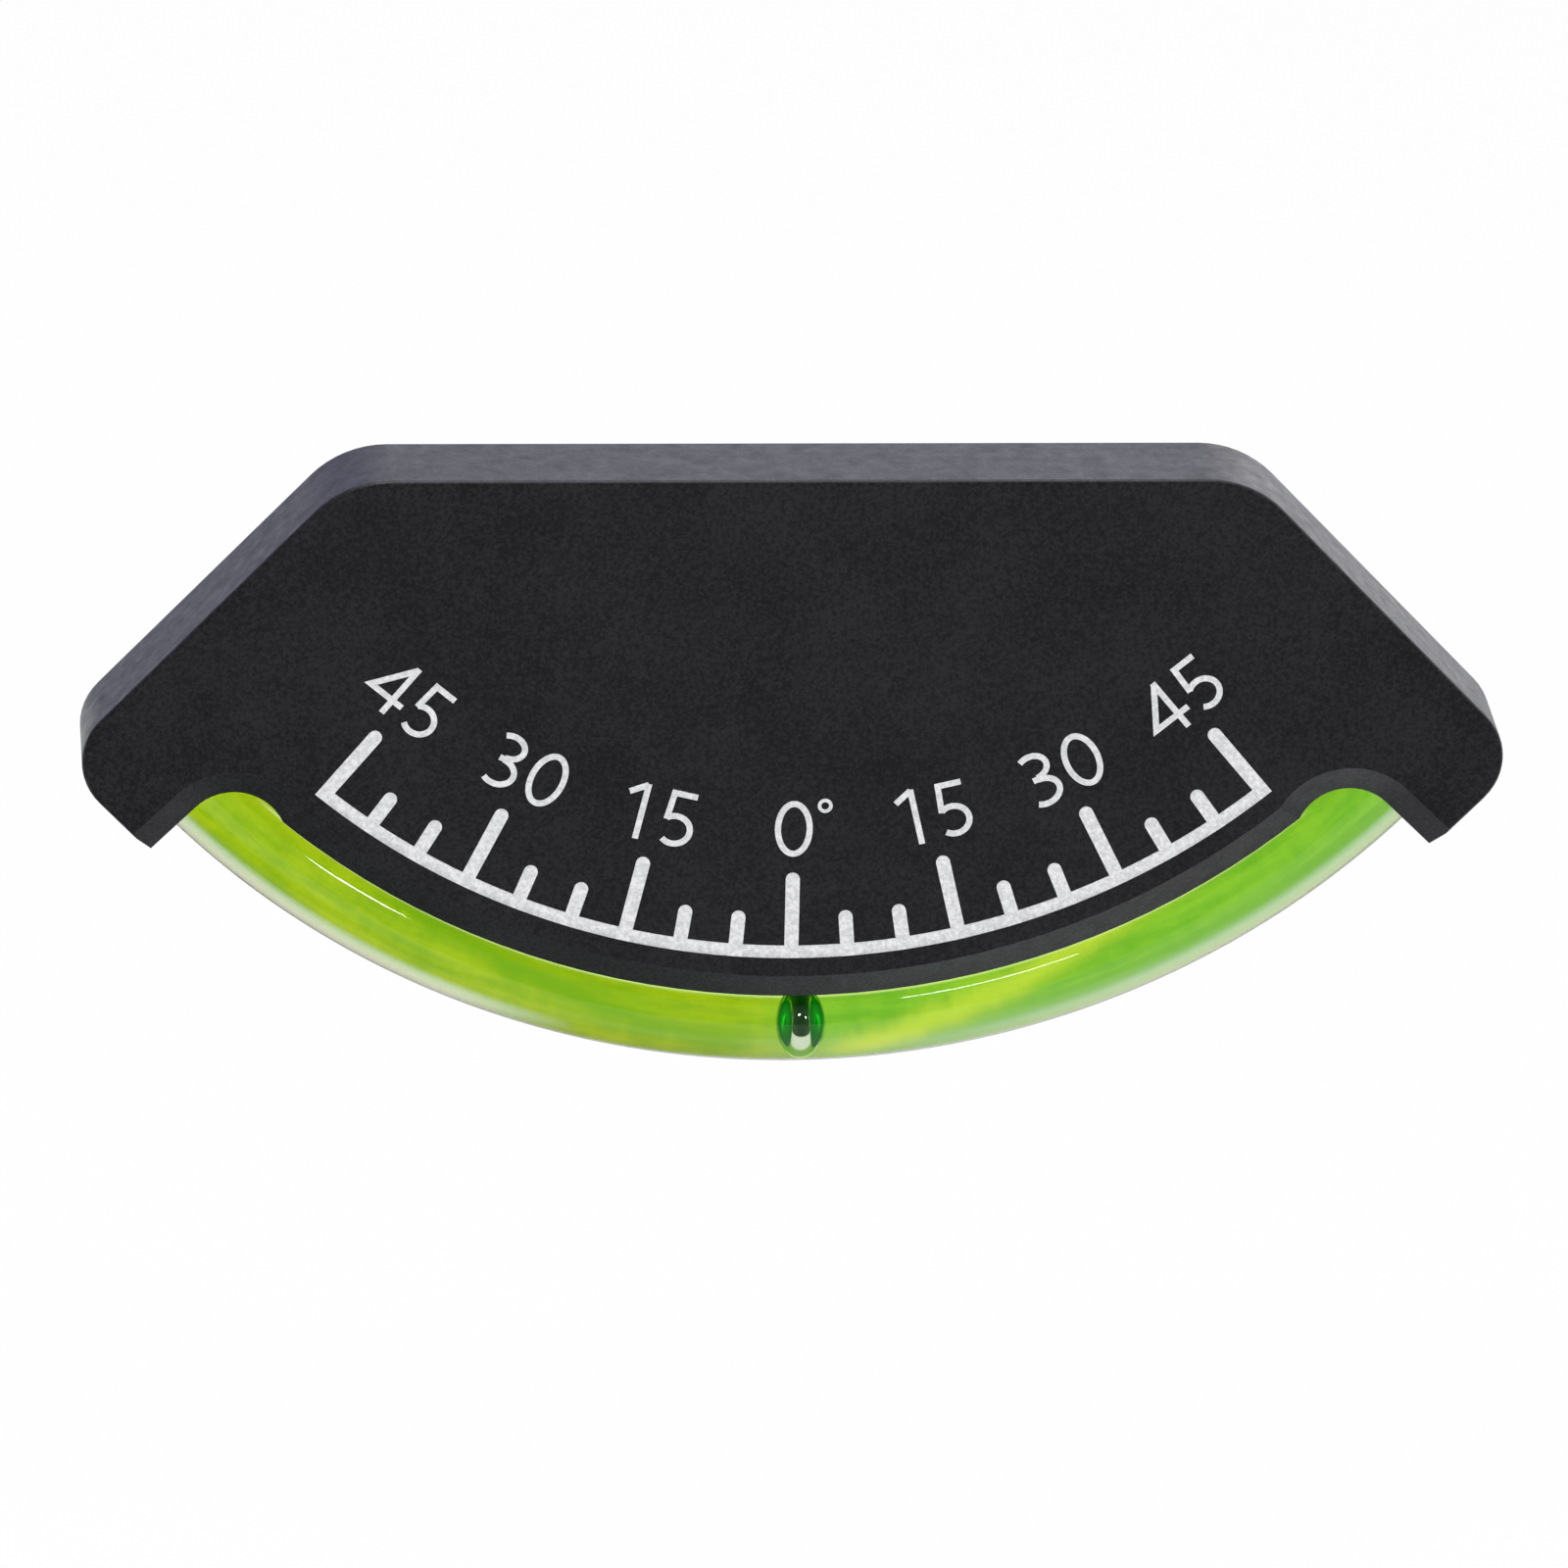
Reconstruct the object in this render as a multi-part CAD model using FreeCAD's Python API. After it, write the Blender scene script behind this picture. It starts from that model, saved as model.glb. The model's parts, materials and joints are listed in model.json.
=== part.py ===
import FreeCAD, Part
import math
import os

from FreeCAD import Vector

os.makedirs("parts", exist_ok=True)

# Ball inclinometer for a wall or bulkhead. Lengths in mm, angles in degrees.
# The origin is the centre of the adhesive face at the back. The front looks along -Y, and +Z is up.
# Round features share one centre above the plate. Angles there start straight down and grow towards +X.

# Plate outline
plate_thickness = 10.0
top_edge_drop = 19.05
top_corner_radius = 8.5
shoulder_angle = 45.9
ear_width = 10.8
ear_corner_radius = 5.0
ear_side_angle = 45.66
lip_radius = 63.31
notch_radius = 4.33
notch_depth = 0.4
bevel_width = 2.2
bevel_depth = 1.4
edge_rounding = 0.35

# Moulded walls of the housing
front_wall = 2.4
rim_wall = 1.6
side_wall = 2.2
groove_wall = 1.9
ear_tip_wall = 1.5
ear_wall_share = 0.35
ear_bevel_wall = 0.45
ear_block_inset = 14.2
rib_thickness = 1.2
rib_pitch = 10.6

# Curved tube and what it holds
tube_drop = 3.28
tube_depth_share = 0.525
tube_radius_share = 0.35
tube_wall = 1.2
ball_side_gap = 0.315
ball_rest_angle = 1.02
ball_running_gap = 0.03
ball_liquid_gap = 0.06
liquid_gap = 0.02

# Plugs, seals and cushions at the ends of the tube
plug_length = 3.9
plug_gap = 0.02
flange_thickness = 0.9
flange_gap = 0.02
seal_section_radius = 0.45
seal_groove_width = 1.1
seal_gap = 0.02
cushion_wall = 0.5
cushion_end_wall = 1.0
cushion_gap = 0.05
tube_seat_gap = 0.05

# Back cover with its clamp flange
cover_thickness = 2.0
cover_gap = 0.1
clamp_drop = 1.4
clamp_grip = 1.5

# Cover screws
screw_shank_radius = 1.1
screw_head_radius = 2.0
screw_head_height = 1.1
screw_length = 6.4
screw_gap = 0.02
screw_head_gap = 0.1
screw_slot_radius = 1.1
screw_slot_width = 0.55
screw_slot_depth = 0.6
boss_radius = 2.8
boss_hole_extra = 0.5
top_screw_side_inset = 5.7
top_screw_edge_inset = 5.4
low_screw_half_spacing = 13.0
low_screw_rise = 9.1
ear_screw_side_inset = 4.0
ear_screw_end_inset = 14.0

# Adhesive foam pad
pad_side_inset = 5.2
pad_height_share = 0.53
pad_thickness = 1.0
pad_recess = 0.4
pad_corner_radius = 3.0
pad_recess_gap = 0.3

# Raised scale
scale_inset = 3.81
scale_line_width = 1.05
tick_width = 1.14
tick_pitch_angle = 4.419
ticks_each_side = 9
minor_ticks_between = 2
major_tick_length = 7.3
minor_tick_length = 3.9
scale_height = 0.12

overrun = 1.0
match_tolerance = 0.001

# Planes and radii that follow from the sizes above
cover_back = pad_recess - pad_thickness
plate_front = cover_back - plate_thickness
cover_front = cover_back - cover_thickness
tube_y = plate_front + plate_thickness * tube_depth_share
tube_outer_radius = plate_thickness * tube_radius_share
bore_radius = tube_outer_radius - tube_wall
ball_radius = bore_radius - ball_side_gap
seat_radius = tube_outer_radius + tube_seat_gap
cushion_radius = tube_outer_radius + cushion_wall
pocket_radius = cushion_radius + cushion_gap
tube_centre_radius = lip_radius + tube_drop
groove_floor_radius = tube_centre_radius - seat_radius
cavity_radius = groove_floor_radius - groove_wall
ear_tip_radius = tube_centre_radius + pocket_radius + ear_tip_wall
notch_centre_radius = lip_radius + notch_radius - notch_depth
ball_centre_radius = tube_centre_radius + bore_radius - ball_radius - ball_running_gap
scale_radius = lip_radius - scale_inset

# The shoulder's line leaves the ear its width, and the width of the top follows
slope = math.radians(shoulder_angle)
ear_lean = math.radians(ear_side_angle + shoulder_angle)
shoulder_distance = ear_width - ear_tip_radius * math.cos(ear_lean)
top_half_width = (shoulder_distance + top_edge_drop * math.cos(slope)) / math.sin(slope)

# The pad lies midway between the upper and the lower row of cover screws
top_screw_drop = top_edge_drop + top_screw_edge_inset
low_screw_drop = lip_radius - low_screw_rise
arc_centre_height = (top_screw_drop + low_screw_drop) / 2
pad_width = 2 * (top_half_width - pad_side_inset)
pad_height = (low_screw_drop - top_screw_drop) * pad_height_share


def arc_angle(length):
    """Angle that a length along the tube's centre line spans."""
    return math.degrees(length / tube_centre_radius)


def pocket_end():
    """Angle where the pocket in the ear leaves its wall to the shoulder."""
    share = (ear_width * ear_wall_share - shoulder_distance) / (tube_centre_radius + pocket_radius)
    return math.degrees(math.acos(share)) - shoulder_angle


pocket_end_angle = pocket_end()
cushion_end_angle = pocket_end_angle - arc_angle(cushion_gap)
flange_end_angle = cushion_end_angle - arc_angle(cushion_end_wall)
tube_end_angle = flange_end_angle - arc_angle(flange_thickness)
plug_face_angle = tube_end_angle - arc_angle(plug_length)
seal_angle = tube_end_angle - arc_angle(plug_length / 2)
pocket_front_wall = tube_y - pocket_radius - plate_front
bevel_reach = max(0, bevel_width * (1 - pocket_front_wall / bevel_depth))
pocket_start_angle = ear_side_angle + arc_angle(bevel_reach + ear_bevel_wall)
cushion_start_angle = pocket_start_angle + arc_angle(cushion_gap)


def heading(angle):
    """Direction from the arc centre at an angle."""
    turn = math.radians(angle)
    return Vector(math.sin(turn), 0, -math.cos(turn))


def polar(radius, angle, y=0.0):
    """Point at a radius and angle about the arc centre."""
    return heading(angle) * radius + Vector(0, y, arc_centre_height)


def meet(point_a, way_a, point_b, way_b):
    """Crossing of two lines in the plane of the plate."""
    cross = way_a.x * way_b.z - way_a.z * way_b.x
    gap = point_b - point_a
    along = (gap.x * way_b.z - gap.z * way_b.x) / cross
    return point_a + way_a * along


def rounding(before, corner, after, radius):
    """Start, middle and end of the arc that rounds a corner."""
    back = (before - corner).normalize()
    ahead = (after - corner).normalize()
    half = back.getAngle(ahead) / 2
    reach = radius / math.tan(half)
    axis = (back + ahead).normalize()
    middle = corner + axis * (radius / math.sin(half) - radius)
    return corner + back * reach, middle, corner + ahead * reach


def notch_angle():
    """Angle of the notch's centre, where the notch just touches the ear's inner side."""
    return ear_side_angle - math.degrees(math.asin(notch_radius / notch_centre_radius))


def shoulder_line(inset):
    """Point and direction of the right shoulder's line, moved inwards."""
    corner = Vector(top_half_width, 0, arc_centre_height - top_edge_drop)
    inwards = Vector(-math.sin(slope), 0, -math.cos(slope))
    return corner + inwards * inset, Vector(math.cos(slope), 0, -math.sin(slope))


def ear_end_line(inset):
    """Point and direction of the line across the right ear's end, moved inwards."""
    return polar(ear_tip_radius - inset, ear_side_angle), heading(ear_side_angle + 90)


def upper_edges(inset):
    """Right half of the upper outline: top, shoulder, ear, down to the ear's tip."""
    top_middle = Vector(0, 0, arc_centre_height - top_edge_drop - inset)
    shoulder, down_slope = shoulder_line(inset)
    ear_end, outward = ear_end_line(inset)
    top = meet(top_middle, Vector(1, 0, 0), shoulder, down_slope)
    ear = meet(shoulder, down_slope, ear_end, outward)
    top_start, top_bend, top_end = rounding(top_middle, top, ear, top_corner_radius - inset)
    ear_start, ear_bend, ear_last = rounding(top, ear, ear_end, ear_corner_radius - inset)
    return [
        Part.makeLine(top_middle, top_start),
        Part.Arc(top_start, top_bend, top_end).toShape(),
        Part.makeLine(top_end, ear_start),
        Part.Arc(ear_start, ear_bend, ear_last).toShape(),
    ], ear_last


def lower_edges(inset, relief, ear_last):
    """Right half of the lower outline: ear tip, ear's inner side, notch and half of the lip."""
    ear_end, outward = ear_end_line(inset)
    tip = ear_end + outward * relief
    notch = polar(notch_centre_radius, notch_angle())
    curve = notch_radius + relief
    lip = lip_radius - relief
    touch = notch + outward * curve
    share = (lip ** 2 + notch_centre_radius ** 2 - curve ** 2) / (2 * lip * notch_centre_radius)
    kink_angle = notch_angle() - math.degrees(math.acos(share))
    kink = polar(lip, kink_angle)
    way = ((touch - notch) + (kink - notch)).normalize()
    return [
        Part.makeLine(ear_last, tip),
        Part.makeLine(tip, touch),
        Part.Arc(touch, notch + way * curve, kink).toShape(),
        Part.Arc(kink, polar(lip, kink_angle / 2), polar(lip, 0)).toShape(),
    ]


def outline(y, inset=0.0, relief=0.0):
    """Closed outline of the plate at a depth y.

    inset moves the top, shoulder and ear edges inwards. relief moves the lower
    edge back from the tube.
    """
    upper, ear_last = upper_edges(inset)
    edges = upper + lower_edges(inset, relief, ear_last)
    across = Vector(-1, 0, 0)
    edges += [edge.mirror(Vector(0, 0, 0), across) for edge in edges]
    wire = Part.Wire(Part.__sortEdges__(edges))
    wire.translate(Vector(0, y, 0))
    return wire


def slab(y_front, y_back, inset=0.0, relief=0.0):
    """Plate outline extruded between two depths."""
    return Part.Face(outline(y_front, inset, relief)).extrude(Vector(0, y_back - y_front, 0))


def turned(face, start, end):
    """Face at the start angle swept about the arc centre to the end angle."""
    return face.revolve(polar(0, 0), Vector(0, -1, 0), end - start)


def arc_rod(radius, start, end):
    """Round bar that follows the tube's centre line."""
    centre = polar(tube_centre_radius, start, tube_y)
    circle = Part.makeCircle(radius, centre, heading(start + 90))
    return turned(Part.Face(Part.Wire(circle)), start, end)


def arc_block(inner, outer, start, end, y_front, y_back):
    """Block between two radii, two angles and two depths."""
    corners = [polar(inner, start, y_front), polar(outer, start, y_front)]
    corners += [polar(outer, start, y_back), polar(inner, start, y_back)]
    return turned(Part.Face(Part.makePolygon(corners + corners[:1])), start, end)


def slot_from_back(radius, start, end):
    """Seat for a bar on the tube's line, open towards the back."""
    inner = tube_centre_radius - radius
    outer = tube_centre_radius + radius
    straight = arc_block(inner, outer, start, end, tube_y, cover_back + overrun)
    return arc_rod(radius, start, end).fuse(straight)


def both_sides(shape):
    """The shape and its mirror image across the middle plane."""
    return [shape, shape.mirror(Vector(0, 0, 0), Vector(1, 0, 0))]


def screw_places():
    """Points of the six cover screws on the outer face of the cover."""
    shoulder, down_slope = shoulder_line(ear_screw_side_inset)
    ear_end, outward = ear_end_line(ear_screw_end_inset)
    ear_screw = meet(shoulder, down_slope, ear_end, outward)
    right = [
        Vector(top_half_width - top_screw_side_inset, cover_back, arc_centre_height - top_screw_drop),
        Vector(ear_screw.x, cover_back, ear_screw.z),
        Vector(low_screw_half_spacing, cover_back, arc_centre_height - low_screw_drop),
    ]
    return right + [Vector(-point.x, point.y, point.z) for point in right]


def bevel_wedges():
    """Cutters for the bevel: cones along the lip and the notches, wedges along the ears."""
    face = plate_front - overrun
    inner = plate_front + bevel_depth + overrun
    beyond = overrun * bevel_width / bevel_depth
    grow = bevel_width + beyond
    shrink = -beyond
    corners = [
        polar(lip_radius - grow, -notch_angle(), face),
        polar(lip_radius - shrink, -notch_angle(), inner),
        polar(lip_radius - shrink, -notch_angle(), face),
    ]
    lip = turned(Part.Face(Part.makePolygon(corners + corners[:1])), -notch_angle(), notch_angle())
    centre = polar(notch_centre_radius, notch_angle(), face)
    notch = Part.makeCone(notch_radius + grow, notch_radius + shrink, inner - face, centre, Vector(0, 1, 0))
    outward = heading(ear_side_angle + 90)
    foot_radius = notch_centre_radius * math.cos(math.radians(ear_side_angle - notch_angle()))
    foot = polar(foot_radius, ear_side_angle)
    corners = [
        foot + outward * grow + Vector(0, face, 0),
        foot + outward * shrink + Vector(0, inner, 0),
        foot + outward * shrink + Vector(0, face, 0),
    ]
    reach = heading(ear_side_angle) * (ear_tip_radius + overrun - foot_radius)
    wedge = Part.Face(Part.makePolygon(corners + corners[:1])).extrude(reach)
    return [lip] + both_sides(notch) + both_sides(wedge)


def outer_edges(body):
    """Edges of the front and back faces along the top, the shoulders and the ears."""
    upper, ear_last = upper_edges(0.0)
    tip = polar(ear_tip_radius, ear_side_angle)
    upper.append(Part.makeLine(ear_last, tip))
    chosen = []
    for y in (plate_front, cover_back):
        path = Part.makeCompound(upper)
        path.translate(Vector(0, y, 0))
        for edge in body.Edges:
            middle = edge.valueAt((edge.FirstParameter + edge.LastParameter) / 2)
            point = Part.Vertex(abs(middle.x), middle.y, middle.z)
            if point.distToShape(path)[0] < match_tolerance:
                chosen.append(edge)
    return chosen


def plate():
    """Plate with the bevel along its lower edge and softly rounded upper edges."""
    body = slab(plate_front, cover_back).removeSplitter().cut(bevel_wedges())
    return body.makeFillet(edge_rounding, outer_edges(body))


def cavities():
    """Cells behind the front wall, between a grid of ribs and round the bosses."""
    cells = slab(plate_front + front_wall, cover_back, side_wall, lip_radius - cavity_radius)
    reach = polar(ear_tip_radius, ear_side_angle).x - ear_block_inset
    top = arc_centre_height - top_edge_drop
    bottom = arc_centre_height - lip_radius
    depth = cover_back - plate_front
    middle = Part.makeBox(2 * reach, depth, top - bottom, Vector(-reach, plate_front, bottom))
    cells = cells.common(middle)
    ribs = []
    across = int(reach / rib_pitch) + 1
    for step in range(-across, across + 1):
        x = (step + 0.5) * rib_pitch - rib_thickness / 2
        ribs.append(Part.makeBox(rib_thickness, depth, top - bottom, Vector(x, plate_front, bottom)))
    for step in range(1, int((top - bottom) / rib_pitch) + 1):
        z = top - step * rib_pitch
        ribs.append(Part.makeBox(2 * reach, depth, rib_thickness, Vector(-reach, plate_front, z)))
    for place in screw_places():
        ribs.append(Part.makeCylinder(boss_radius, depth, place, Vector(0, -1, 0)))
    return cells.cut(ribs)


def screw_holes(radius, depth, start):
    """Round holes from the depth start, towards the front, at every screw."""
    holes = []
    for place in screw_places():
        mouth = Vector(place.x, start, place.z)
        holes.append(Part.makeCylinder(radius, depth, mouth, Vector(0, -1, 0)))
    return holes


def housing():
    """Moulded housing: bevelled plate, cells, seat for the tube and pockets in the ears."""
    body = plate()
    rebate = slab(cover_front, cover_back + overrun, rim_wall, -overrun)
    mouth = slot_from_back(seat_radius, -pocket_start_angle, pocket_start_angle)
    pocket = slot_from_back(pocket_radius, pocket_start_angle, pocket_end_angle)
    hole_depth = screw_length - cover_thickness + boss_hole_extra
    holes = screw_holes(screw_shank_radius + screw_gap, hole_depth + overrun, cover_front + overrun)
    cuts = [rebate, mouth, cavities()] + both_sides(pocket) + holes
    return body.cut(cuts)


def back_cover():
    """Flat cover with a flange that clamps the tube from behind and a recess for the pad."""
    cover = slab(cover_front, cover_back, rim_wall + cover_gap, 0.0)
    rib_front = tube_y + tube_outer_radius - clamp_grip
    inner = groove_floor_radius + cover_gap
    outer = lip_radius + clamp_drop
    rib_end = 2 * notch_angle() - ear_side_angle
    cover = cover.fuse(arc_block(inner, outer, -rib_end, rib_end, rib_front, cover_back))
    cover = cover.cut(arc_rod(seat_radius, -pocket_start_angle, pocket_start_angle))
    pocket = arc_rod(pocket_radius, pocket_start_angle, pocket_end_angle)
    recess = pad_block(pad_recess_gap, cover_back - pad_recess, cover_back + overrun)
    cuts = both_sides(pocket) + [recess]
    cuts += screw_holes(screw_shank_radius + screw_gap, cover_thickness + overrun, cover_back)
    cuts += [countersink(place) for place in screw_places()]
    return cover.cut(cuts).removeSplitter()


def countersink(place):
    """Cone for a screw head, a little wider than the head."""
    wide = screw_head_radius + screw_head_gap
    narrow = screw_shank_radius + screw_gap
    height = screw_head_height + screw_gap
    return Part.makeCone(wide, narrow, height, place, Vector(0, -1, 0))


def pad_block(margin, y_front, y_back):
    """Rounded rectangle about the origin between two depths."""
    width = pad_width + 2 * margin
    height = pad_height + 2 * margin
    block = Part.makeBox(width, y_back - y_front, height, Vector(-width / 2, y_front, -height / 2))
    depth = Vector(0, 1, 0)
    corners = [edge for edge in block.Edges if edge.tangentAt(0).cross(depth).Length < match_tolerance]
    return block.makeFillet(pad_corner_radius + margin, corners)


def cover_screws():
    """Six countersunk screws with a cross recess."""
    screws = []
    inward = Vector(0, -1, 0)
    for place in screw_places():
        head = Part.makeCone(screw_head_radius, screw_shank_radius, screw_head_height, place, inward)
        shank = Part.makeCylinder(screw_shank_radius, screw_length, place, inward)
        screw = head.fuse(shank)
        for turn in (0, 90):
            arm = Part.makeBox(
                2 * screw_slot_radius, screw_slot_depth + overrun, screw_slot_width,
                place - Vector(screw_slot_radius, screw_slot_depth, screw_slot_width / 2),
            )
            arm.rotate(place, Vector(0, 1, 0), turn)
            screw = screw.cut(arm)
        screws.append(screw)
    return Part.makeCompound(screws)


def curved_tube():
    """Clear tube bent to an arc."""
    outer = arc_rod(tube_outer_radius, -tube_end_angle, tube_end_angle)
    return outer.cut(arc_rod(bore_radius, -tube_end_angle, tube_end_angle))


def ball_centre():
    """Centre of the ball where it rests on the lower wall of the bore."""
    return polar(ball_centre_radius, ball_rest_angle, tube_y)


def damping_liquid():
    """Liquid between the plugs, round the ball."""
    filling = arc_rod(bore_radius - liquid_gap, -plug_face_angle, plug_face_angle)
    return filling.cut(Part.makeSphere(ball_radius + ball_liquid_gap, ball_centre()))


def plug():
    """Plug in the right end of the tube, with a flange and a groove for its seal."""
    spigot = arc_rod(bore_radius - plug_gap, plug_face_angle, tube_end_angle)
    flange = arc_rod(tube_outer_radius, tube_end_angle + arc_angle(flange_gap), flange_end_angle)
    neck = arc_rod(bore_radius - plug_gap, tube_end_angle, flange_end_angle)
    along = heading(seal_angle + 90)
    start = polar(tube_centre_radius, seal_angle, tube_y) - along * (seal_groove_width / 2)
    ring = Part.makeCylinder(bore_radius + overrun, seal_groove_width, start, along)
    core_radius = bore_radius - 2 * (seal_gap + seal_section_radius)
    core = Part.makeCylinder(core_radius, seal_groove_width, start, along)
    return spigot.fuse([neck, flange]).cut(ring.cut(core)).removeSplitter()


def plug_seal():
    """Ring seal in the plug's groove, against the bore."""
    ring_radius = bore_radius - seal_gap - seal_section_radius
    centre = polar(tube_centre_radius, seal_angle, tube_y)
    return Part.makeTorus(ring_radius, seal_section_radius, centre, heading(seal_angle + 90))


def end_cushion():
    """Rubber cap over the right end of the tube, held in the ear's pocket."""
    cap = arc_rod(cushion_radius, cushion_start_angle, cushion_end_angle)
    inside_start = cushion_start_angle - arc_angle(overrun)
    inside_end = flange_end_angle + arc_angle(flange_gap)
    return cap.cut(arc_rod(tube_outer_radius + flange_gap, inside_start, inside_end))


def tick(index):
    """One tick with a round inner end, reaching past the scale line."""
    length = major_tick_length if index % (minor_ticks_between + 1) == 0 else minor_tick_length
    angle = index * tick_pitch_angle
    tip = scale_radius - length + tick_width / 2
    y = plate_front - scale_height
    bar = Part.makeBox(
        tick_width, scale_height, scale_radius + overrun - tip,
        Vector(-tick_width / 2, y, arc_centre_height - scale_radius - overrun),
    )
    end = Part.makeCylinder(tick_width / 2, scale_height, polar(tip, 0, y), Vector(0, 1, 0))
    shape = bar.fuse(end)
    shape.rotate(polar(0, 0), Vector(0, -1, 0), angle)
    return shape


def scale_marks():
    """Raised scale: one arc and its ticks, ending square at the outermost ticks."""
    y = plate_front - scale_height
    last = ticks_each_side * tick_pitch_angle
    line = arc_block(scale_radius - scale_line_width, scale_radius, -last, last, y, plate_front)
    ticks = [tick(index) for index in range(-ticks_each_side, ticks_each_side + 1)]
    disc = Part.makeCylinder(scale_radius, scale_height, polar(0, 0, y), Vector(0, 1, 0))
    return line.fuse([shape.common(disc) for shape in ticks]).removeSplitter()


def save(name, shape):
    """One STEP file for each piece."""
    shape.exportStep("parts/" + name + ".step")


def main():
    save("housing", housing())
    save("back_cover", back_cover())
    save("cover_screws", cover_screws())
    save("curved_tube", curved_tube())
    save("damping_liquid", damping_liquid())
    save("ball", Part.makeSphere(ball_radius, ball_centre()))
    for name, shape in (("plug", plug()), ("plug_seal", plug_seal()), ("end_cushion", end_cushion())):
        right, left = both_sides(shape)
        save(name + "_right", right)
        save(name + "_left", left)
    save("mounting_pad", pad_block(0.0, -pad_thickness, 0.0))
    save("scale_marks", scale_marks())


main()
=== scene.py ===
import json
import math

import bmesh
import bpy
from mathutils import Matrix, Vector


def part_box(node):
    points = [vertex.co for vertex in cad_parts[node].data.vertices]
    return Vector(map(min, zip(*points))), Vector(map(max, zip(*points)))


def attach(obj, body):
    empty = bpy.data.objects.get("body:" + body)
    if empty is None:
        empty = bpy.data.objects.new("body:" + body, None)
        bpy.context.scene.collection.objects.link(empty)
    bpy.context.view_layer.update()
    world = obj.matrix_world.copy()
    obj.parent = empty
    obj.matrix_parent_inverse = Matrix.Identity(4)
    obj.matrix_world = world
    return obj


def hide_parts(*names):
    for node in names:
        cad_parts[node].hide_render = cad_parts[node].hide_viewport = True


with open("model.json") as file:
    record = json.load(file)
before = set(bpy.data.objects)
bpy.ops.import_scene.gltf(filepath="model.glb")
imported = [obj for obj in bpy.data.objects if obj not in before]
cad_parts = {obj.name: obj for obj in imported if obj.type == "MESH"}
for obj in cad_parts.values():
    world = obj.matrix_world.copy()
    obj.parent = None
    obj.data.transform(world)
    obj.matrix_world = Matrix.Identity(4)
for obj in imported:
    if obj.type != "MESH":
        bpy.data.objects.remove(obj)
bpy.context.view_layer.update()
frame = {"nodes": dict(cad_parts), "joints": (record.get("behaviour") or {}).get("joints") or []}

MM = 0.001

# Places read from the frame. The arc centre is on the ball's hinge axis.
ARC_CENTRE = Vector(frame["joints"][0]["pos_m"])
PLATE_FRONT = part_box("housing")[0].y
TUBE_LOW, TUBE_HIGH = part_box("curved_tube")
LIQUID_LOW, LIQUID_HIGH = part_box("damping_liquid")
MARKS_LOW, MARKS_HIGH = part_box("scale_marks")
TUBE_RADIUS = (TUBE_HIGH.y - TUBE_LOW.y) / 2
TUBE_PATH_RADIUS = ARC_CENTRE.z - TUBE_LOW.z - TUBE_RADIUS
TUBE_END = math.asin(TUBE_HIGH.x / (TUBE_PATH_RADIUS + TUBE_RADIUS))
LIQUID_RADIUS = (LIQUID_HIGH.y - LIQUID_LOW.y) / 2
LIQUID_END = math.asin(LIQUID_HIGH.x / (TUBE_PATH_RADIUS + LIQUID_RADIUS))
SCALE_RADIUS = ARC_CENTRE.z - MARKS_LOW.z
PRINT_HEIGHT = MARKS_HIGH.y - MARKS_LOW.y

# Bore, a small gap outside the liquid
LIQUID_GAP = 0.02 * MM
BORE_RADIUS = LIQUID_RADIUS + LIQUID_GAP

# Fineness of the swept forms
TUBE_SIDES = 80
TUBE_STEPS = 360
LIQUID_SIDES = 64
LIQUID_STEPS = 300
LINE_STEPS = 240
TICK_ROUND_POINTS = 10
MERGE_DISTANCE = 0.001 * MM

# Scale. The line is a little lower than the ticks, and a tick's end is rounded by nearly half its width.
TICK_PITCH = math.radians(4.419)
TICKS_EACH_SIDE = 9
TICKS_PER_LABEL = 3
TICK_WIDTH = 1.14 * MM
MAJOR_LENGTH = 7.3 * MM
MINOR_LENGTH = 3.9 * MM
LINE_WIDTH = 1.05 * MM
LINE_HEIGHT_SHARE = 0.94
TICK_ROUNDING = 0.4999

# Numerals. HALF and TOP are in shares of the digit's height: half a stroke, and the centre line of a top bar.
DIGIT_FOOT_RADIUS = 50.83 * MM
DIGIT_HEIGHT = 4.74 * MM
DIGIT_SHIFT = 1.84 * MM
STROKE = 0.49 * MM
HALF = STROKE / DIGIT_HEIGHT / 2
TOP = 1 - HALF
NUMERAL_HEIGHT = 0.07 * MM
STROKE_STEP = 0.06
MITRE_LIMIT = 0.35
DEGREES_PER_LABEL = 15
LABELS_EACH_SIDE = 3

# Shift of each printed label along the scale, from the left to the right
LABEL_SHIFTS = [shift * MM for shift in (0.09, 0.08, 0.08, 0.0, -0.06, -0.2, -0.1)]

# Ring of the degree sign
RING_CENTRE = (2.49 * MM, -46.5 * MM)
RING_RADIUS = 0.46 * MM
RING_STROKE = 0.28 * MM

# Camera
VIEW_AZIMUTH = -4.18
VIEW_ELEVATION = 19.49
VIEW_ROLL = 1.19
VIEW_DISTANCE = 1.073
VIEW_SHIFT_RIGHT = 0.57 * MM
VIEW_SHIFT_UP = 14.0 * MM
LENS = 305.4
SENSOR = 36.0

# How the camera looks into the liquid. FAR_TURN is the turn about the tube's centre line, on the far side,
# that shows at the tube's edge. The view is tilted most at one angle of the arc. The height at which the lip
# shows grows with the tilt.
FAR_TURN = math.radians(41)
STEEPEST_ANGLE = math.radians(11.6)
STEEPEST_TILT = math.radians(19.9)
LIP_SLOPE = 1.35
LIP_OFFSET = -0.915

ACRYLIC_IOR = 1.49
WHITE = (1, 1, 1, 1)

# Floor: drop below the tube, reach to each side, and the share of its own light in what the camera sees
FLOOR_DROP = 0.07
FLOOR_REACH = 30.0
FLOOR_GLOW = 0.9

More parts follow.
